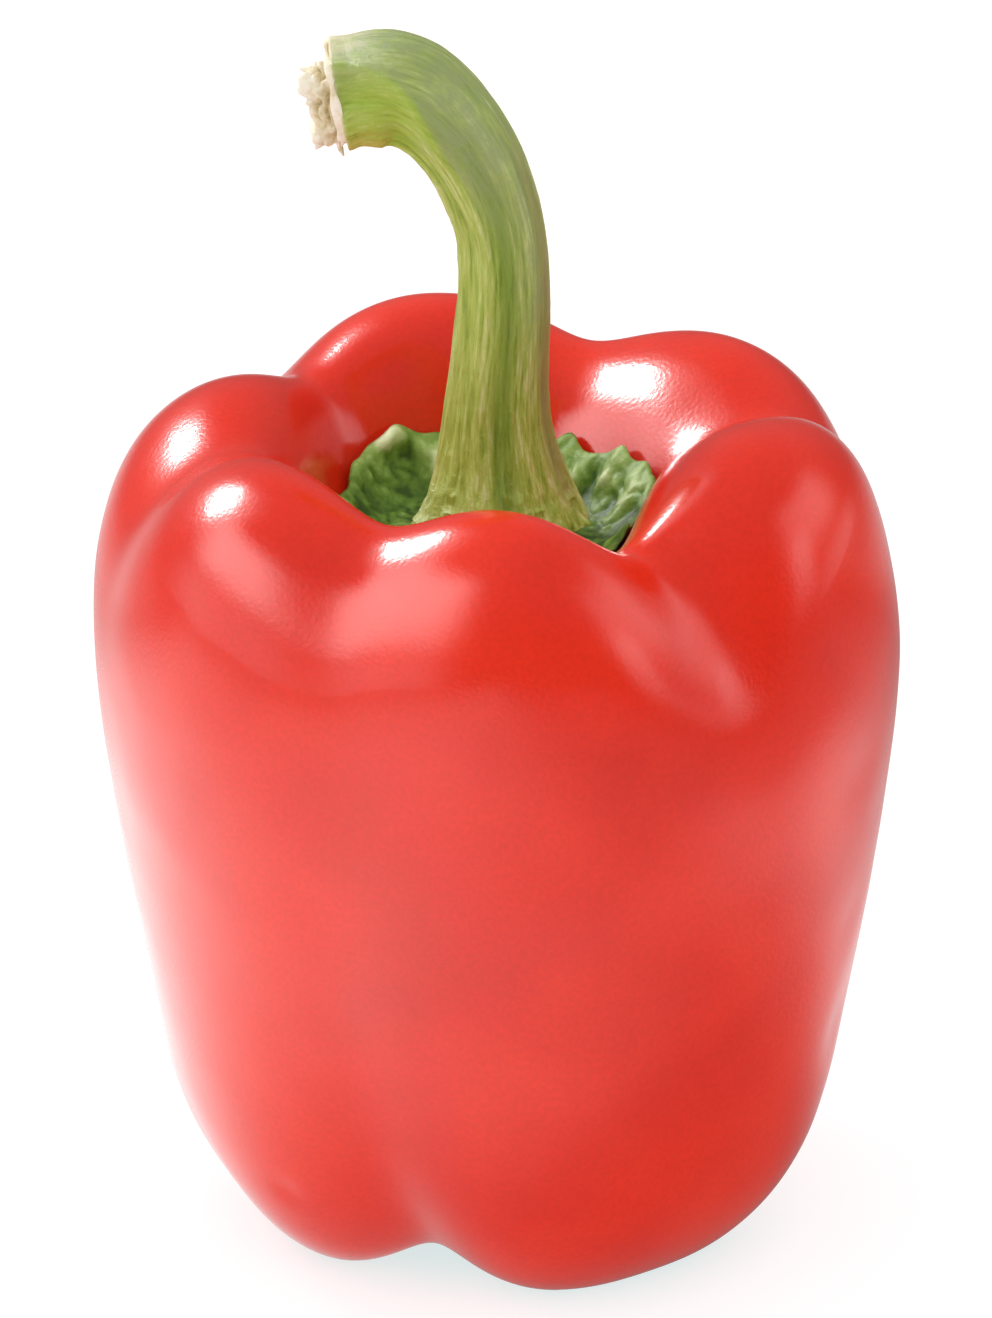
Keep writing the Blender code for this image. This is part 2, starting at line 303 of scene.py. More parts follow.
fruit_low, fruit_high = (np.array(corner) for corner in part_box("fruit"))
skin_low, skin_high = skin.min((0, 1)), skin.max((0, 1))
per_share = (fruit_high - fruit_low) / (skin_high - skin_low)


def to_metres(points):
    """Shares of the fruit's width to metres: the skin's own box laid on the fruit's box."""
    return fruit_low + (points - skin_low) * per_share


fruit = closed_skin("fruit_skin", to_metres(skin))


def waxy_pepper_skin():
    """Ripe pepper skin: deep clear red pigment under natural wax, glossy, faintly pebbled."""
    material, tree, shader = new_material("waxy red pepper skin")
    place = add(tree, "ShaderNodeTexCoord").outputs["Object"]
    # slow ripening patches about 18 mm across, from orange red to deep red
    ripe = add(tree, "ShaderNodeTexNoise", {"Vector": place, "Scale": 55.0, "Detail": 2.0})
    colour = ramp(tree, ripe.outputs["Fac"],
                  (0.30, "#D4230D"), (0.52, "#DE2810"), (0.75, "#E63013"))
    # flesh cells about 0.5 mm across just show through the skin
    cells = add(tree, "ShaderNodeTexNoise", {"Vector": place, "Scale": 1900.0, "Detail": 2.0})
    grain = ramp(tree, cells.outputs["Fac"], (0.35, 0.93), (0.65, 1.0))
    mixed = add(tree, "ShaderNodeMix", {0: 1.0, 6: colour, 7: grain},
                data_type="RGBA", blend_type="MULTIPLY")
    tree.links.new(mixed.outputs[2], shader.inputs["Base Color"])
    # the wax is a little duller in patches 6 mm across
    wax = add(tree, "ShaderNodeTexNoise", {"Vector": place, "Scale": 160.0, "Detail": 3.0})
    dull = add(tree, "ShaderNodeMapRange", {"Value": wax.outputs["Fac"],
                                            "To Min": 0.18, "To Max": 0.27})
    tree.links.new(dull.outputs["Result"], shader.inputs["Roughness"])
    # pebbling of the skin, 0.45 mm and 2 mm across, a few microns deep
    pebble = add(tree, "ShaderNodeTexNoise", {"Vector": place, "Scale": 2200.0, "Detail": 1.0})
    low_pebble = add(tree, "ShaderNodeTexNoise", {"Vector": place, "Scale": 480.0, "Detail": 1.0})
    fine = add(tree, "ShaderNodeBump", {"Strength": 0.6, "Distance": 0.00004,
                                        "Height": pebble.outputs["Fac"]})
    broad = add(tree, "ShaderNodeBump", {"Strength": 0.35, "Distance": 0.00004,
                                         "Height": low_pebble.outputs["Fac"],
                                         "Normal": fine.outputs["Normal"]})
    tree.links.new(broad.outputs["Normal"], shader.inputs["Normal"])
    shader.inputs["IOR"].default_value = 1.36
    shader.inputs["Subsurface Weight"].default_value = 0.12
    shader.inputs["Subsurface Radius"].default_value = (1.0, 0.12, 0.06)
    shader.inputs["Subsurface Scale"].default_value = 0.003
    shader.inputs["Coat Weight"].default_value = 0.30
    shader.inputs["Coat Roughness"].default_value = 0.05
    shader.inputs["Coat IOR"].default_value = 1.4
    return material


fruit.data.materials.append(waxy_pepper_skin())
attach(fruit, "root")
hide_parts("fruit")

# ---------------------------------------------------------------------------
# Calyx: the withered flower's green star, a thick leathery leaf with seven points. It lies
# in the bowl under the stalk, crinkled and veined, its edge and points turned up.
# ---------------------------------------------------------------------------
CALYX_ROWS = 201
CALYX_COLUMNS = 460
CALYX_REACH = 0.162         # share of the outline covered, centre to mean rim
CALYX_THICKNESS = 1.2
CALYX_EDGE = 8              # the higher, the blunter the rim
CALYX_FLOOR = 0.5           # height of the leaf over the skin
CALYX_LEAST = 0.4           # and the least it is anywhere
CALYX_LIFT = 0.7            # how far the rim stands up beyond that
CALYX_TIP_FOCUS = 16        # how narrow each point is
# points of the star: azimuth, then how far each is drawn out, as a share of the outline
CALYX_TIPS = (
    (26, 0.042), (62, 0.030), (98, 0.014), (133, 0.036), (190, 0.010), (244, 0.008), (300, 0.012),
)
# scallops of the rim: how many, how deep and where they start; then its fraying: depth, size
CALYX_SCALLOPS = ((17, 0.003, 1.0), (29, 0.002, 0.0))
CALYX_FRAYING = (0.007, 0.16)
# crumples: (height, size) of broad pillows, of small ones, and of folds running outwards
CALYX_PILLOWS = (1.0, 3.0)
CALYX_PUCKERS = (0.6, 1.3)
CALYX_FOLDS = (1.3, 0.20)
CALYX_HOLLOW = 0.45         # how far pillows, and folds, sink between their ridges
CALYX_CURL = (0.6, 6.0)     # waves of the rim: height, size
# the withered knob on the rim: height, azimuth and its half width, share outwards and its half
CALYX_KNOB = (1.6, 129, 7, 0.95, 0.06)


def calyx_surface(share, azimuth):
    """A star laid on the bowl: height off the skin is a dome to the rim plus veins and ruffles."""
    out = 1 - np.abs(1 - 2 * share)
    upper = share < 0.5
    reach = CALYX_REACH
    for count, depth, phase in CALYX_SCALLOPS:
        reach = reach + depth * np.cos(count * azimuth + phase)
    for tip, length in CALYX_TIPS:
        reach = reach + length * np.exp((np.cos(azimuth - math.radians(tip)) - 1) * CALYX_TIP_FOCUS)
    spread = np.stack([np.cos(azimuth), np.sin(azimuth), 0.5 * out], -1)
    fray_depth, fray_size = CALYX_FRAYING
    reach = reach + fray_depth * ruffle(spread * (1, 1, 0), fray_size, 15)
    at = np.maximum(out * reach, 1e-4)
    base = fruit_surface(at, azimuth)
    normal = fruit_normal(at, azimuth)
    normal[out < 0.02] = (0, 0, 1)
    flat = base * (1, 1, 0.4)
    near_rim = smoothstep((out - 0.5) / 0.45)
    (broad, broad_size), (small, small_size) = CALYX_PILLOWS, CALYX_PUCKERS
    pillows = broad * np.abs(ruffle(flat, broad_size, 11))
    pillows = pillows + small * np.abs(ruffle(flat, small_size, 12)) - CALYX_HOLLOW
    fold_height, fold_size = CALYX_FOLDS
    folds = fold_height * np.abs(ruffle(spread, fold_size, 16)) - CALYX_HOLLOW
    # level under the foot of the stalk, and calmer again at the rim
    relief = (pillows + folds) * smoothstep((out - 0.3) / 0.2)
    relief = relief * (1 - 0.6 * smoothstep((out - 0.8) / 0.2))
    knob, knob_at, knob_width, knob_out, knob_length = CALYX_KNOB
    knob = knob * np.exp(-((np.degrees(azimuth) - knob_at) / knob_width) ** 2
                         - ((out - knob_out) / knob_length) ** 2)
    curl_height, curl_size = CALYX_CURL
    curl = curl_height * near_rim * ruffle(flat, curl_size, 13) + knob
    thick = CALYX_THICKNESS * np.sqrt(np.maximum(1 - out ** CALYX_EDGE, 0)) * upper
    lift = CALYX_FLOOR + CALYX_LIFT * smoothstep((out - 0.6) / 0.4) + curl + relief
    rise = np.maximum(lift, CALYX_LEAST) + thick
    return base + normal * rise[..., None], relief + curl


share, azimuth = np.meshgrid(
    np.linspace(0, 1, CALYX_ROWS), np.arange(CALYX_COLUMNS) * 2 * math.pi / CALYX_COLUMNS,
    indexing="ij")
leaf, relief = calyx_surface(share, azimuth)
leaf[..., 2] -= FOOT_CUT
calyx = closed_skin("calyx_star", to_metres(leaf), relief=relief)


def leathery_calyx():
    """Calyx leaf: thick green tissue, paler where raised, partly its own pale veins and partly a
    painted highlight, and darker in its hollows as painted shade, with a soft broken shine.
    """
    material, tree, shader = new_material("leathery green calyx")
    place = add(tree, "ShaderNodeTexCoord").outputs["Object"]
    height = add(tree, "ShaderNodeAttribute", attribute_name="relief").outputs["Fac"]
    mottle = add(tree, "ShaderNodeTexNoise", {"Vector": place, "Scale": 1000.0, "Detail": 5.0})
    level = add(tree, "ShaderNodeMath", {0: mottle.outputs["Fac"], 1: 1.3}, operation="MULTIPLY")
    total = add(tree, "ShaderNodeMath", {0: level.outputs[0], 1: height}, operation="ADD")
    span = add(tree, "ShaderNodeMapRange", {"Value": total.outputs[0],
                                            "From Min": 0.1, "From Max": 1.9})
    # colour by height: the dark green in the hollows is painted shade, and the near white on the
    # ridges is a painted highlight over the paler veins
    colour = ramp(tree, span.outputs["Result"], (0.0, "#3C561A"), (0.3, "#66862F"),
                  (0.6, "#8FAA55"), (0.92, "#C6D39C"))
    tree.links.new(colour, shader.inputs["Base Color"])
    grit = add(tree, "ShaderNodeTexNoise", {"Vector": place, "Scale": 2600.0, "Detail": 3.0})
    bump = add(tree, "ShaderNodeBump", {"Strength": 0.5, "Distance": 0.00015,
                                        "Height": grit.outputs["Fac"]})
    tree.links.new(bump.outputs["Normal"], shader.inputs["Normal"])
    shader.inputs["Roughness"].default_value = 0.58
    shader.inputs["IOR"].default_value = 1.3
    shader.inputs["Subsurface Weight"].default_value = 0.1
    shader.inputs["Subsurface Radius"].default_value = (0.5, 1.0, 0.2)
    shader.inputs["Subsurface Scale"].default_value = 0.001
    return material


calyx.data.materials.append(leathery_calyx())
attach(calyx, "root")
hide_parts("calyx")

# ---------------------------------------------------------------------------
# Stalk: a solid, fibrous green stem with five soft corners. It flares where it joins the
# calyx, narrows at the waist and hooks over at the top, where it thickens to the cut.
# ---------------------------------------------------------------------------
STALK_ROWS = 420
STALK_COLUMNS = 220
CAP_ROWS = 6                # rows that close each end
STALK_LENGTH = 62           # millimetres along the centreline
STALK_ROUND = 5             # millimetres, the mean radius that patterns are laid on
PATTERN_SHARE = 0.12        # patterns are drawn out along the stalk by one over this
HOOK = (0.62, 0.25)         # share of the length where the hook starts, and over how much
# centreline and diameter, millimetres: (across, height, diameter)
STALK_PATH = (
    (0.7, 75.9, 18.0), (0.7, 77.0, 16.4), (0.6, 78.6, 14.9), (0.5, 80.8, 13.4), (0.3, 84.0, 11.8),
    (0.2, 88.0, 10.5), (0.5, 92.5, 9.8), (0.9, 97.0, 9.7), (1.0, 101.5, 9.4), (0.8, 106.0, 9.0),
    (-0.2, 110.2, 9.1), (-2.1, 114.4, 9.7), (-4.7, 118.0, 10.5), (-8.0, 121.0, 11.6),
    (-10.9, 121.8, 11.9), (-13.6, 121.6, 11.2), (-15.7, 121.2, 10.4),
)


# ribs up the waist: (angle, height); then their width, and how far and how slowly they wander
RIBS = ((5, 0.35), (-48, 0.30), (-112, 0.28), (-165, 0.3), (120, 0.35), (65, 0.3))
RIB_WIDTH = 13
RIB_WANDER = (6, 14)
# fibres: (height, distance apart, how much they are drawn in again, seed), about a mean height
FIBRES = ((0.34, 0.85, 0.45, 21), (0.20, 0.42, 0.8, 22))
FIBRE_MEAN = 0.14
# on the hook: (height, angle or offset from the ridge line, width in degrees)
RIDGE = (0.55, 0, 7)
SCOOP = (1.25, -36, 22)
UNDERSIDE = (0.45, -156, 8)
# at the foot: height and share of the length, then the wrinkles: height, distance apart
BUTTRESS = (0.5, 0.28)
WRINKLES = (0.42, 0.9)
CUT_RIM = (0.45, 0.95, 0.05)  # lip at the cut: height, where it starts, over how much
INSET = 0.2                 # taken off all round, so that the ribs come level with the tube


def stalk_frame(along):
    """Centre, direction of growth and radius at each share of the stalk, in millimetres."""
    step = 0.004
    here = spline(STALK_PATH, along, False)
    run = (spline(STALK_PATH, np.minimum(along + step, 1), False)
           - spline(STALK_PATH, np.maximum(along - step, 0), False))[..., :2]
    run /= np.linalg.norm(run, axis=-1, keepdims=True)
    return here[..., :2], run, here[..., 2] / 2


def bell(angle, centre, width):
    """A smooth bump of height one round the stalk, at an angle in degrees."""
    turn = math.radians(1) * (centre if np.isscalar(centre) else np.asarray(centre))
    return np.exp((np.cos(angle - turn) - 1) / math.radians(width) ** 2)


def ridge_line(along):
    """Angle, in degrees, of the ridge that winds from the front up over the hook to its top."""
    return -112 + 66 * smoothstep((along - 0.70) / 0.28)


def stalk_surface(along, angle):
    """Round section swept up the hook, raised at each rib and scored by fine fibres."""
    centre, run, radius = stalk_frame(along)
    length = along * STALK_LENGTH
    straight = np.stack([STALK_ROUND * np.cos(angle), STALK_ROUND * np.sin(angle),
                         length * PATTERN_SHARE], -1)
    waist = 1 - ease_from(along, HOOK)
    ribs = 0.0
    swing, slowness = RIB_WANDER
    for turn, high in RIBS:
        ribs = ribs + high * bell(angle, turn + swing * np.sin(length / slowness + turn), RIB_WIDTH)
    fibres = FIBRE_MEAN
    for high, apart, drawn_in, seed in FIBRES:
        fibres = fibres - high * np.abs(ruffle(straight * (1, 1, drawn_in), apart, seed))
    high, offset, width = RIDGE
    edge = high * bell(angle, ridge_line(along) + offset, width) * (1 - waist)
    high, offset, width = SCOOP
    scoop = high * bell(angle, ridge_line(along) + offset, width) * (1 - waist)
    high, turn, width = UNDERSIDE
    under = high * bell(angle, turn, width) * (1 - waist)
    high, reach = BUTTRESS
    base = 1 - smoothstep(along / reach)
    buttress = high * base * (np.cos(5 * angle + 1.2) + 0.6 * ruffle(straight, 2.2, 23))
    high, apart = WRINKLES
    wrinkle = high * (base + 0.12) * (0.4 - np.abs(ruffle(straight * (1.3, 1.3, 2.6), apart, 24)))
    high, start, reach = CUT_RIM
    rim = high * smoothstep((along - start) / reach)
    wide = radius + ribs * (0.35 + 0.65 * waist) + fibres * (0.45 + 0.55 * waist) + edge - scoop
    wide = wide + under + buttress + wrinkle + rim - INSET
    side = wide * np.cos(angle)
    x = centre[..., 0] + run[..., 1] * side
    z = centre[..., 1] - run[..., 0] * side
    unrolled = straight * (1, 1, 1 / PATTERN_SHARE)
    return np.stack([x, wide * np.sin(angle), z], -1), unrolled, fibres + ribs


def into_box(points, node):
    """Millimetre points laid exactly on a node's box, each axis stretched a touch to fit."""
    low, high = (np.array(corner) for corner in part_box(node))
    least, most = points.min((0, 1)), points.max((0, 1))
    return low + (points - least) * (high - low) / (most - least)


last_row = STALK_ROWS - 1
row = np.arange(STALK_ROWS) / last_row
# the first and last rows close the ends, so the length runs between the rows inside them
along = np.clip((row * last_row - CAP_ROWS) / (last_row - 2 * CAP_ROWS), 0, 1)
cap = np.clip(np.minimum(row * last_row, (1 - row) * last_row) / CAP_ROWS, 0, 1)
along, angle = np.meshgrid(
    along, np.arange(STALK_COLUMNS) * 2 * math.pi / STALK_COLUMNS, indexing="ij")
rod, straight, ridge = stalk_surface(along, angle)
centre, _, _ = stalk_frame(along)
core = np.stack([centre[..., 0], 0 * centre[..., 0], centre[..., 1]], -1)
rod = core + (rod - core) * cap[:, None, None]
# where each tint lies: its angle and width round the stalk in degrees
BLOOM = (-44, 18)
BARK = (-14, 14)
TAN = (182, 26)
# painted highlight: a light yellow green strip down the left of the waist, the side towards the key
# lamp
LIT_SIDE_HIGHLIGHT = (-150, 32)
DARK = (-84, 10)
DRY = (35, 48)
hook = ease_from(along, HOOK)
turned = (np.degrees(angle) + 180) % 360 - 180
above = smoothstep((turned - ridge_line(along)) / 9)
bloom = above * (1 - smoothstep((turned - 40) / 30)) * smoothstep((along - 0.52) / 0.2)
bloom = bloom + 0.8 * bell(angle, *BLOOM) * smoothstep((along - 0.30) / 0.2) * (1 - bloom)
panel = (1 - above) * smoothstep((turned + 172) / 14) * smoothstep((along - 0.70) / 0.12)
bark = bell(angle, *BARK) * plateau(along, 0.12, 0.66, 0.04)
tan = bell(angle, *TAN) * smoothstep((along - 0.80) / 0.05)
# painted highlight on the left of the waist, where the key lamp falls
lime = bell(angle, *LIT_SIDE_HIGHLIGHT) * (1 - hook) * smoothstep((0.8 - along) / 0.3)
dark = bell(angle, *DARK) * (1 - hook)
# dry skin over the top of the tip, broken at its edge, and all round the last of the cut
dry = smoothstep((along - 0.88 + 0.09 * ruffle(straight / (1, 1, 8), 0.9, 31)) / 0.14)
dry = dry * (bell(angle, *DRY) + 0.9 * smoothstep((along - 0.992) / 0.006))
stalk = closed_skin("stalk", into_box(rod, "stem"), straight=straight / 1000, ridge=ridge,
                    bloom=bloom, panel=panel, bark=bark, tan=tan, lime=lime, dark=dark, dry=dry)


def fibrous_stalk():
    """Living plant fibre: yellow green on the ribs, darker between, satin, with dull bloom; the
    paler yellow green down the left of the waist is a painted highlight.
    """
    material, tree, shader = new_material("fibrous green stalk")
    follow = add(tree, "ShaderNodeAttribute", attribute_name="straight").outputs["Vector"]
    # fibres about 0.5 mm apart, drawn out ten times along the stalk
    stretch = add(tree, "ShaderNodeMapping", {"Vector": follow, "Scale": (1, 1, 0.10)})
    streak = add(tree, "ShaderNodeTexNoise", {"Vector": stretch.outputs["Vector"], "Scale": 2100.0,
                                              "Detail": 6.0, "Roughness": 0.72})
    # mottling of the bloom and pores, 1.6 mm across and finer
    mottle = add(tree, "ShaderNodeTexNoise", {"Vector": follow, "Scale": 620.0, "Detail": 6.0,
                                              "Roughness": 0.72})
    crest = add(tree, "ShaderNodeAttribute", attribute_name="ridge").outputs["Fac"]
    raised = add(tree, "ShaderNodeMath", {0: crest, 1: 0.55}, operation="MULTIPLY")
    sharp = add(tree, "ShaderNodeMapRange", {"Value": streak.outputs["Fac"], "From Min": 0.3,
                                             "From Max": 0.7, "To Min": 0.08, "To Max": 0.92})
    height = add(tree, "ShaderNodeMath", {0: sharp.outputs["Result"], 1: raised.outputs[0]},
                 operation="ADD")
    colour = ramp(tree, height.outputs[0], (0.20, "#66831F"), (0.45, "#92AB37"),
                  (0.68, "#AFC05A"), (1.0, "#DDE3A6"))

    def tint(below, mark, code, strength, texture):
        """Lays a colour over another where a painted mark is strong and its texture high."""
        amount = add(tree, "ShaderNodeAttribute", attribute_name=mark).outputs["Fac"]
        broken = add(tree, "ShaderNodeMapRange", {"Value": texture, "From Min": 0.35,
                                                  "From Max": 0.6, "To Min": 0.45, "To Max": 1.0})
        both = add(tree, "ShaderNodeMath", {0: amount, 1: broken.outputs["Result"]},
                   operation="MULTIPLY", use_clamp=True)
        scaled = add(tree, "ShaderNodeMath", {0: both.outputs[0], 1: strength}, operation="MULTIPLY",
                     use_clamp=True)
        over = add(tree, "ShaderNodeMix", {0: scaled.outputs[0], 6: below, 7: linear(code)},
                   data_type="RGBA")
        return over.outputs[2]

    # the first tint, light yellow green on the left of the waist, is a painted highlight
    for mark, code, strength, texture in (
            ("lime", "#AFC050", 0.6, streak), ("dark", "#64851C", 0.75, streak),
            ("panel", "#9DB83A", 0.85, mottle), ("bloom", "#8F9C66", 0.9, mottle),
            ("bark", "#8E7A50", 0.9, streak),
            ("tan", "#CFA95C", 1.0, mottle), ("dry", "#DDD1AD", 1.2, mottle)):
        colour = tint(colour, mark, code, strength, texture.outputs["Fac"])
    tree.links.new(colour, shader.inputs["Base Color"])
    fine = add(tree, "ShaderNodeBump", {"Strength": 0.9, "Distance": 0.0003,
                                        "Height": streak.outputs["Fac"]})
    pores = add(tree, "ShaderNodeBump", {"Strength": 0.6, "Distance": 0.0003,
                                         "Height": mottle.outputs["Fac"],
                                         "Normal": fine.outputs["Normal"]})
    tree.links.new(pores.outputs["Normal"], shader.inputs["Normal"])
    shader.inputs["Roughness"].default_value = 0.36
    shader.inputs["IOR"].default_value = 1.42
    shader.inputs["Subsurface Weight"].default_value = 0.1
    shader.inputs["Subsurface Radius"].default_value = (0.7, 1.0, 0.2)
    shader.inputs["Subsurface Scale"].default_value = 0.0012
    return material


stalk.data.materials.append(fibrous_stalk())
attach(stalk, "root")
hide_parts("stem")

# ---------------------------------------------------------------------------
# Torn end: where the stalk was snapped off, its fibres dried to a crumpled cream pad,
# with a thin collar round the rim and a pointed flap hanging from the lower edge.
# ---------------------------------------------------------------------------
TORN_ROWS = 120
TORN_COLUMNS = 200
TORN_RADIUS = 4.4           # millimetres, as all the sizes of this section
TORN_LENGTH = 3.4
TORN_DROP = 0.9             # how far the pad sits below the stalk's centreline
TORN_GAP = 0.02
# crumples, on a ball of radius one: (size, height, seed)
TORN_CRUMPLES = ((0.55, 0.5, 41), (0.24, 0.28, 42))
TORN_BULGE = (0.72, 0.5)    # where the pad starts to stand out, and over how much
TORN_FLATTENING = 0.9       # front to back against up and down


def torn_pad(share, angle):
    """A cushion on the cut end: a rounded disc whose radius and depth are crumpled by ruffles."""
    out = np.sin(share * math.pi)
    ball = np.stack([out * np.cos(angle), out * np.sin(angle), np.cos(share * math.pi)], -1)
    crumple = sum(np.abs(ruffle(ball, size, seed)) * high for size, high, seed in TORN_CRUMPLES)
    lumps = 0.82 + 0.45 * crumple + 0.1 * np.cos(3 * angle + 0.6)
    radius = TORN_RADIUS * np.abs(out) ** 0.6 * lumps
    start, reach = TORN_BULGE
    depth = TORN_LENGTH * smoothstep((start - share) / reach) * (0.55 + 0.95 * crumple)
    return radius, depth, crumple


def on_the_cut(radius, angle, forward, drop):
    """Places polar points on the stalk's cut end: forward is the way out of the stalk."""
    centre, run, _ = stalk_frame(np.ones_like(radius))
    side = radius * np.cos(angle) - drop
    x = centre[..., 0] + run[..., 0] * forward + run[..., 1] * side
    z = centre[..., 1] + run[..., 1] * forward - run[..., 0] * side
    return np.stack([x, radius * np.sin(angle) * TORN_FLATTENING, z], -1)


share, angle = np.meshgrid(
    np.linspace(0, 1, TORN_ROWS), np.arange(TORN_COLUMNS) * 2 * math.pi / TORN_COLUMNS,
    indexing="ij")
radius, depth, crumple = torn_pad(share, angle)
pad_points = on_the_cut(radius, angle, TORN_GAP + depth, TORN_DROP)
stalk_low, stalk_high = (np.array(corner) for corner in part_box("stem"))
rod_low, rod_high = rod.min((0, 1)), rod.max((0, 1))


def with_stalk(points):
    """Millimetres to metres by the same fit that laid the stalk on its box."""
    return stalk_low + (points - rod_low) * (stalk_high - stalk_low) / (rod_high - rod_low)


pad = closed_skin("torn_end", with_stalk(pad_points), relief=crumple)


def dry_torn_fibre():
    """Dry plant tissue: cream papery fibre, tan in its folds, quite matt."""
    material, tree, shader = new_material("dry torn stalk fibre")
    place = add(tree, "ShaderNodeTexCoord").outputs["Object"]
    height = add(tree, "ShaderNodeAttribute", attribute_name="relief").outputs["Fac"]
    flecks = add(tree, "ShaderNodeTexNoise", {"Vector": place, "Scale": 1100.0, "Detail": 5.0,
                                              "Roughness": 0.7})
    total = add(tree, "ShaderNodeMath", {0: flecks.outputs["Fac"], 1: height}, operation="ADD")
    span = add(tree, "ShaderNodeMapRange", {"Value": total.outputs[0],
                                            "From Min": 0.35, "From Max": 1.05})
    colour = ramp(tree, span.outputs["Result"], (0.0, "#8D7244"), (0.35, "#CDBB8F"),
                  (0.7, "#E6DCC0"), (1.0, "#F3EDDB"))
    tree.links.new(colour, shader.inputs["Base Color"])
    bump = add(tree, "ShaderNodeBump", {"Strength": 0.7, "Distance": 0.0003,
                                        "Height": flecks.outputs["Fac"]})
    tree.links.new(bump.outputs["Normal"], shader.inputs["Normal"])
    shader.inputs["Roughness"].default_value = 0.8
    return material


dry_fibre = dry_torn_fibre()
pad.data.materials.append(dry_fibre)
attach(pad, "root")
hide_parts("dry_end")


def closed_ring(name, points, **marks):
    """A closed mesh from a grid that wraps both ways, as a tube bent into a ring."""
    rows, columns, _ = points.shape
    i, j = np.meshgrid(np.arange(rows), np.arange(columns), indexing="ij")
    here, below = i * columns, (i + 1) % rows * columns
    after = (j + 1) % columns
    quads = np.stack([here + j, below + j, below + after, here + after], -1)
    mesh = bpy.data.meshes.new(name)
    mesh.from_pydata(points.reshape(-1, 3).tolist(), [], quads.reshape(-1, 4).tolist())
    mesh.shade_smooth()
    for mark, values in marks.items():
        mesh.attributes.new(mark, "FLOAT", "POINT").data.foreach_set("value", values.ravel())
    piece = bpy.data.objects.new(name, mesh)
    bpy.context.scene.collection.objects.link(piece)
    return piece


COLLAR_ROWS = 14
COLLAR_COLUMNS = 240
COLLAR_WAVE = (0.25, 0.6)   # in and out: how far, over what size
COLLAR_RAGGED = (0.30, 0.35)
COLLAR_REACH = 0.36         # half the mean width of the lip
COLLAR_THICKNESS = 0.15
COLLAR_FORWARD = 0.25       # how far its middle stands beyond the cut


def ragged_collar(turn, angle):
    """Thin lip round the rim: a flat oval section whose reach forward is ragged by ruffles."""
    _, _, radius = stalk_frame(np.ones_like(turn))
    rim = np.stack([np.cos(angle), np.sin(angle), 0 * angle], -1)
    ragged_reach, ragged_size = COLLAR_RAGGED
    ragged = ruffle(rim, ragged_size, 44)
    wave, wave_size = COLLAR_WAVE
    across = radius + 0.02 + COLLAR_THICKNESS * np.cos(turn) + wave * ruffle(rim, wave_size, 43)
    forward = COLLAR_FORWARD + (COLLAR_REACH + ragged_reach * ragged) * np.sin(turn)
    return on_the_cut(across, angle, forward, 0), 0.3 + 0.3 * ragged


turn, angle = np.meshgrid(
    np.arange(COLLAR_ROWS) * 2 * math.pi / COLLAR_ROWS,
    -np.arange(COLLAR_COLUMNS) * 2 * math.pi / COLLAR_COLUMNS, indexing="ij")
collar_points, ragged = ragged_collar(turn, angle)
collar = closed_ring("torn_collar", with_stalk(collar_points), relief=ragged)
collar.data.materials.append(dry_fibre)
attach(collar, "root")


FLAP_ROWS = 40
FLAP_COLUMNS = 48
FLAP_LENGTH = 3.3
FLAP_HALF_WIDTH = 1.9
FLAP_HALF_THICKNESS = 0.22
FLAP_DROP = 3.0             # where it hangs from, below the centreline
FLAP_FORWARD = 0.4          # and how far beyond the cut and towards the front
FLAP_SIDE = 1.4


def hanging_flap(share, angle):
    """A pointed tongue: flat oval sections that shrink as they hang from the rim and curl."""
    long = FLAP_LENGTH * share
    taper = np.sqrt(np.sin(math.pi * np.clip(share, 0, 1) ** 0.6))
    crumple = ruffle(np.stack([2 * np.cos(angle), long, 0 * long], -1), 0.8, 45)
    across = FLAP_HALF_WIDTH * taper * (1 - 0.55 * share) * np.sin(angle)
    curl = 0.5 * np.sin(2.6 * share)
    thick = FLAP_HALF_THICKNESS * taper * np.cos(angle) + 0.25 * crumple + curl
    points = on_the_cut(np.zeros_like(share), angle, FLAP_FORWARD + thick, FLAP_DROP + long)
    points[..., 1] += across - FLAP_SIDE
    return points, 0.4 + 0.4 * crumple


share, angle = np.meshgrid(
    np.linspace(0, 1, FLAP_ROWS), np.arange(FLAP_COLUMNS) * 2 * math.pi / FLAP_COLUMNS,
    indexing="ij")
flap_points, crumple = hanging_flap(share, angle)
flap = closed_skin("torn_flap", with_stalk(flap_points), relief=crumple)
flap.data.materials.append(dry_fibre)
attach(flap, "root")

# ---------------------------------------------------------------------------
# Stage: a white board under the fruit, glowing a little of its own, in even light from a tent and a
# weak lamp.
# What the wax mirrors is set apart: panels, a table top and a lamp that only shine in it.
# ---------------------------------------------------------------------------
FLOOR_SIZE = 7.8
EYE_DISTANCE = 0.85         # metres
EYE_ELEVATION = math.radians(22)
VIEW_HEIGHT = 0.1351        # height of the field of view at the fruit, metres
SENSOR = 36.0
SIGHT_HEIGHT = 0.735 / 1.1025  # height looked at, as a share of the fruit's own

floor_mesh = bpy.data.meshes.new("floor")
half = FLOOR_SIZE / 2
floor_mesh.from_pydata([(-half, -half, 0), (half, -half, 0), (half, half, 0), (-half, half, 0)],
                       [], [(0, 1, 2, 3)])
floor = bpy.data.objects.new("floor", floor_mesh)
bpy.context.scene.collection.objects.link(floor)
board, _, board_shader = new_material("glowing board tinted against red bounce")
# the board glows so that it stays white in the open; its base is tinted red and its glow cyan, so
# that the red light the fruit throws on it and the shade round the feet read as neutral grey
board_shader.inputs["Base Color"].default_value = (0.66, 0.30, 0.30, 1.0)
board_shader.inputs["Roughness"].default_value = 0.9
board_shader.inputs["Specular IOR Level"].default_value = 0.0
board_shader.inputs["Emission Color"].default_value = (0.56, 1.0, 1.0, 1.0)
board_shader.inputs["Emission Strength"].default_value = 0.76
floor_mesh.materials.append(board)
floor.visible_glossy = False


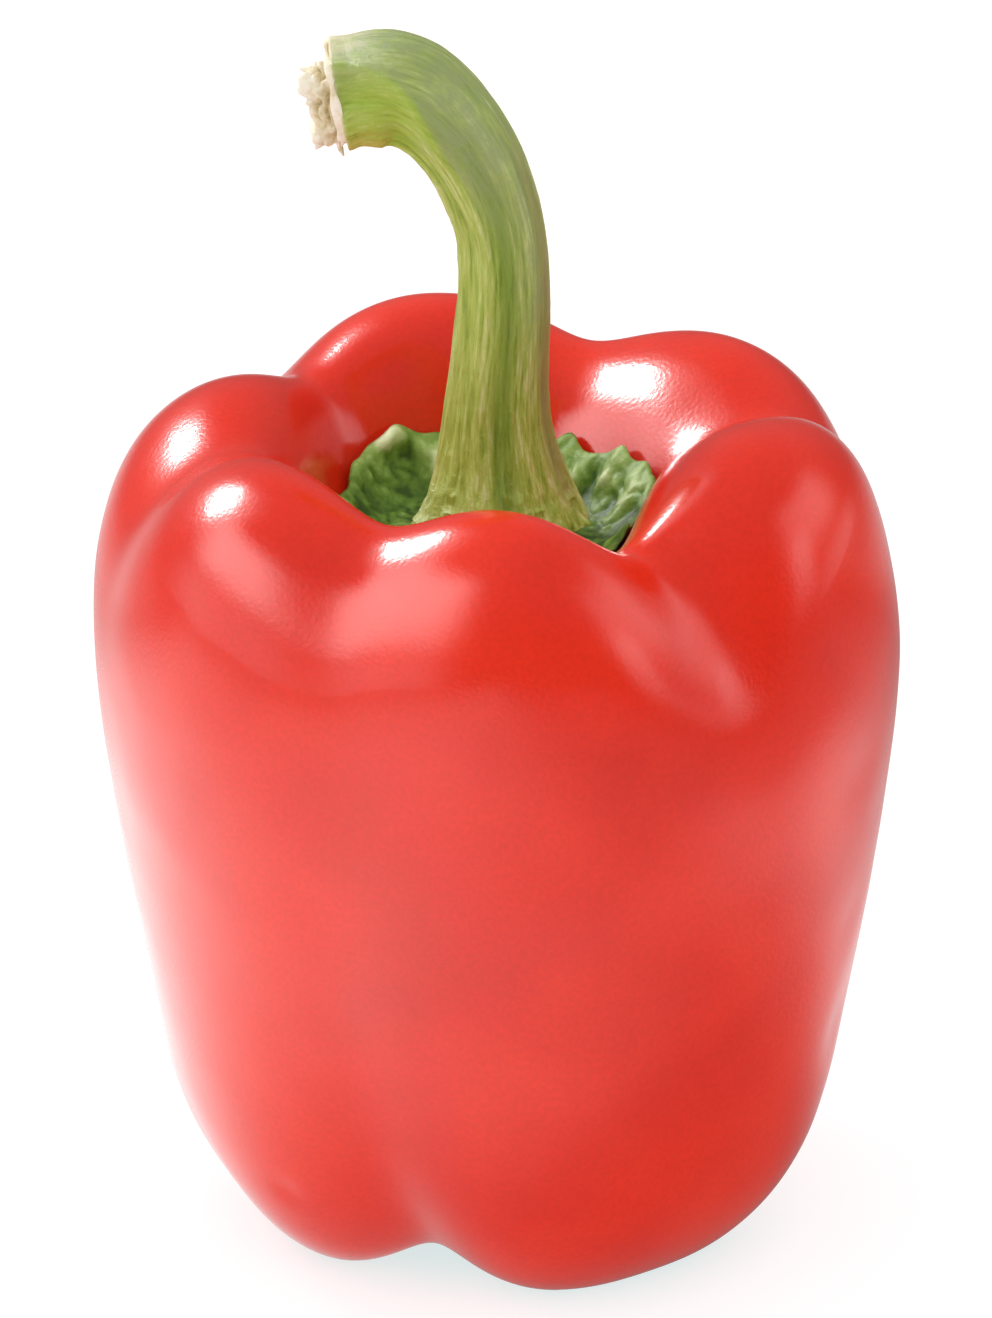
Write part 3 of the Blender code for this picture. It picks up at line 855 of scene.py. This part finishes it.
def glowing_sheet(name, points, glow):
    """A stage surface from a grid of points that shines by the glow at each of them."""
    rows, columns, _ = points.shape
    i, j = np.meshgrid(np.arange(rows - 1) * columns, np.arange(columns - 1), indexing="ij")
    start = i + j
    quads = np.stack([start, start + columns, start + columns + 1, start + 1], -1).reshape(-1, 4)
    mesh = bpy.data.meshes.new(name)
    mesh.from_pydata(points.reshape(-1, 3).tolist(), [], quads.tolist())
    mesh.attributes.new("glow", "FLOAT", "POINT").data.foreach_set("value", glow.ravel())
    mesh.shade_smooth()
    material, tree, shader = new_material(name + " light")
    strength = add(tree, "ShaderNodeAttribute", attribute_name="glow").outputs["Fac"]
    lamp = add(tree, "ShaderNodeEmission", {"Strength": strength})
    tree.links.new(lamp.outputs["Emission"], tree.nodes["Material Output"].inputs["Surface"])
    material.cycles.emission_sampling = "NONE"
    mesh.materials.append(material)
    sheet = bpy.data.objects.new(name, mesh)
    bpy.context.scene.collection.objects.link(sheet)
    return sheet


# white tent round the table: gives the even light, a little stronger from the left
TENT_RADIUS = 3.9
TENT_GLOW = 0.52            # at the horizon
TENT_TOP = 1.02             # how much more there is overhead
TENT_RIGHT = 0.22           # how much less at the right
TENT_BACK = 0.10            # and how much more behind
rise, turn = np.meshgrid(np.linspace(-0.02, 1, 40) * math.pi / 2, np.linspace(0, 2 * math.pi, 97),
                         indexing="ij")
tent_points = TENT_RADIUS * np.stack(
    [np.cos(rise) * np.cos(turn), np.cos(rise) * np.sin(turn), np.sin(rise)], -1)
across = tent_points[..., 0] / TENT_RADIUS
deep = tent_points[..., 1] / TENT_RADIUS
tent_glow = TENT_GLOW + TENT_TOP * np.sin(rise) - TENT_RIGHT * across + TENT_BACK * deep
tent = glowing_sheet("tent", tent_points, tent_glow)
tent.visible_glossy = False
tent.visible_camera = False

# the table top as the waxed skin mirrors it: bright at the left, shaded at the right
TABLE_POINTS = 141
TABLE_HALF = 1.5
TABLE_FINE = 0.05           # half the stretch in the middle where the points are closest
TABLE_RIGHT = 0.8           # glow at the right, then how much more there is at the left
TABLE_LEFT = 2.1
TABLE_TURN = 0.04           # how soon one gives way to the other
# bright patches: glow, then middle and half size across and deep
NEAR_PATCH = (0.8, -0.085, -0.025, 0.075, 0.075)
FAR_PATCH = (1.2, 0.14, -0.01, 0.05, 0.06)
# the fruit's shadow, painted into the mirrored table top: depth, then middle and half size across
# and deep
SHADE = (0.72, 0.045, -0.022, 0.062, 0.042)
BEHIND = (0.23, 0.26)       # where it has darkened behind the fruit, and over how much
HORIZON = (0.6, 0.14, 0.10)  # glow far behind, where it starts and over how much
# painted shade round the feet in the mirrored table top
CONTACT = (0.6, 0.058)      # darkening round the feet, and how far out
reach = np.linspace(-1, 1, TABLE_POINTS)
spacing = TABLE_HALF * reach ** 3 + TABLE_FINE * reach
x, y = np.meshgrid(spacing, spacing, indexing="ij")


def patch(glow, at_x, at_y, half_x, half_y):
    """A soft oval: the glow falls as the bell curve of the distance in half sizes."""
    return glow * np.exp(-((x - at_x) / half_x) ** 2 - ((y - at_y) / half_y) ** 2)


lit = TABLE_RIGHT + TABLE_LEFT / (1 + np.exp(x / TABLE_TURN))
near = patch(*NEAR_PATCH)
far_side = patch(*FAR_PATCH)
depth, at_x, at_y, half_x, half_y = SHADE
shade = 1 - depth * np.exp(-(((x - at_x) / half_x) ** 2 + ((y - at_y) / half_y) ** 2) ** 2)
behind = 0.12 + 0.88 * smoothstep((BEHIND[0] - y) / BEHIND[1])
contact = 1 - CONTACT[0] * np.exp(-((x ** 2 + y ** 2) / CONTACT[1] ** 2) ** 2)
fall = 0.35 + 0.65 * np.exp(-(x ** 2 + y ** 2) / 0.6 ** 2)
horizon = HORIZON[0] * smoothstep((y - HORIZON[1]) / HORIZON[2])
table_glow = (lit + near + far_side) * shade * behind * contact * fall + horizon * fall
table = glowing_sheet("table_top", np.stack([x, y, 0 * x - 0.001], -1), table_glow)
table.visible_camera = False
table.visible_diffuse = False
table.visible_shadow = False


# the room as the skin mirrors it: a dim vault and soft-edged panels, each with its
# azimuth from the front, elevation, half width and half height in degrees, and glow
PANELS = (
    (-66, 31, 35, 16, 8.0), (-116, 44, 26, 20, 2.0), (-68, 3, 38, 9, 2.6),
    (87, 25, 30, 15, 2.4), (71, 11, 11, 9, 2.2), (104, -2, 22, 7, 1.6),
)
ROOM_RADIUS = 2.6
VAULT_GLOW = 0.14           # at the horizon, then how much more overhead and at the left
VAULT_TOP = 0.22
VAULT_LEFT = 0.13
rise, turn = np.meshgrid(np.linspace(-0.03, 1, 120) * math.pi / 2,
                         np.linspace(-math.pi, math.pi, 301), indexing="ij")
away = np.stack([np.sin(turn) * np.cos(rise), -np.cos(turn) * np.cos(rise), np.sin(rise)], -1)
room_glow = VAULT_GLOW + VAULT_TOP * smoothstep(away[..., 2] / 0.75)
room_glow = room_glow + VAULT_LEFT * smoothstep(0.2 - away[..., 0])
for panel_az, panel_el, half_width, half_height, glow in PANELS:
    sideways = (np.degrees(turn) - panel_az + 180) % 360 - 180
    room_glow = room_glow + glow * np.exp(
        -(sideways / half_width) ** 4 - ((np.degrees(rise) - panel_el) / half_height) ** 4)
room = glowing_sheet("room", ROOM_RADIUS * away, room_glow)
room.visible_camera = False
room.visible_diffuse = False
room.visible_shadow = False

# one small lamp behind the left shoulder: hot in the wax, for the crisp white sparks on the
# crests, and weak on everything else
KEY_AZIMUTH = math.radians(-126)
KEY_ELEVATION = math.radians(38)
KEY_DISTANCE = 0.9
KEY_SIZE = 0.26
KEY_HEIGHT = 0.7            # height of its middle line, as a share of the fruit's own
KEY_GLOW = 90               # of the spark in the wax, then of the light it gives the rest
KEY_FILL = 7
key_away = np.array([math.sin(KEY_AZIMUTH) * math.cos(KEY_ELEVATION),
                     -math.cos(KEY_AZIMUTH) * math.cos(KEY_ELEVATION), math.sin(KEY_ELEVATION)])


def key_lamp(name, glow):
    """A square soft box on the key's line: its power is its glow times pi times its area."""
    light = bpy.data.lights.new(name, "AREA")
    light.size = KEY_SIZE
    light.energy = glow * math.pi * KEY_SIZE ** 2
    lamp = bpy.data.objects.new(name, light)
    lamp.location = np.array((0, 0, KEY_HEIGHT * fruit_high[2])) + key_away * KEY_DISTANCE
    lamp.rotation_euler = (math.pi / 2 - KEY_ELEVATION, 0, KEY_AZIMUTH)
    lamp.visible_camera = False
    bpy.context.scene.collection.objects.link(lamp)
    return lamp


key_lamp("key_spark", KEY_GLOW).visible_diffuse = False
key_lamp("key_fill", KEY_FILL).visible_glossy = False

world = bpy.data.worlds.new("studio")
bpy.context.scene.world = world
world.use_nodes = True
backdrop = world.node_tree.nodes["Background"]
backdrop.inputs["Color"].default_value = (1.0, 1.0, 1.0, 1.0)
backdrop.inputs["Strength"].default_value = 1.0

camera_data = bpy.data.cameras.new("camera")
camera_data.sensor_width = SENSOR
camera_data.lens = SENSOR * EYE_DISTANCE / VIEW_HEIGHT
camera = bpy.data.objects.new("camera", camera_data)
sight = np.array([0, -math.cos(EYE_ELEVATION), math.sin(EYE_ELEVATION)])
camera.location = np.array([0, 0, SIGHT_HEIGHT * fruit_high[2]]) + sight * EYE_DISTANCE
camera.rotation_euler = (math.pi / 2 - EYE_ELEVATION, 0, 0)
bpy.context.scene.collection.objects.link(camera)
bpy.context.scene.camera = camera
bpy.context.scene.view_settings.view_transform = "Standard"
bpy.context.scene.view_settings.look = "None"
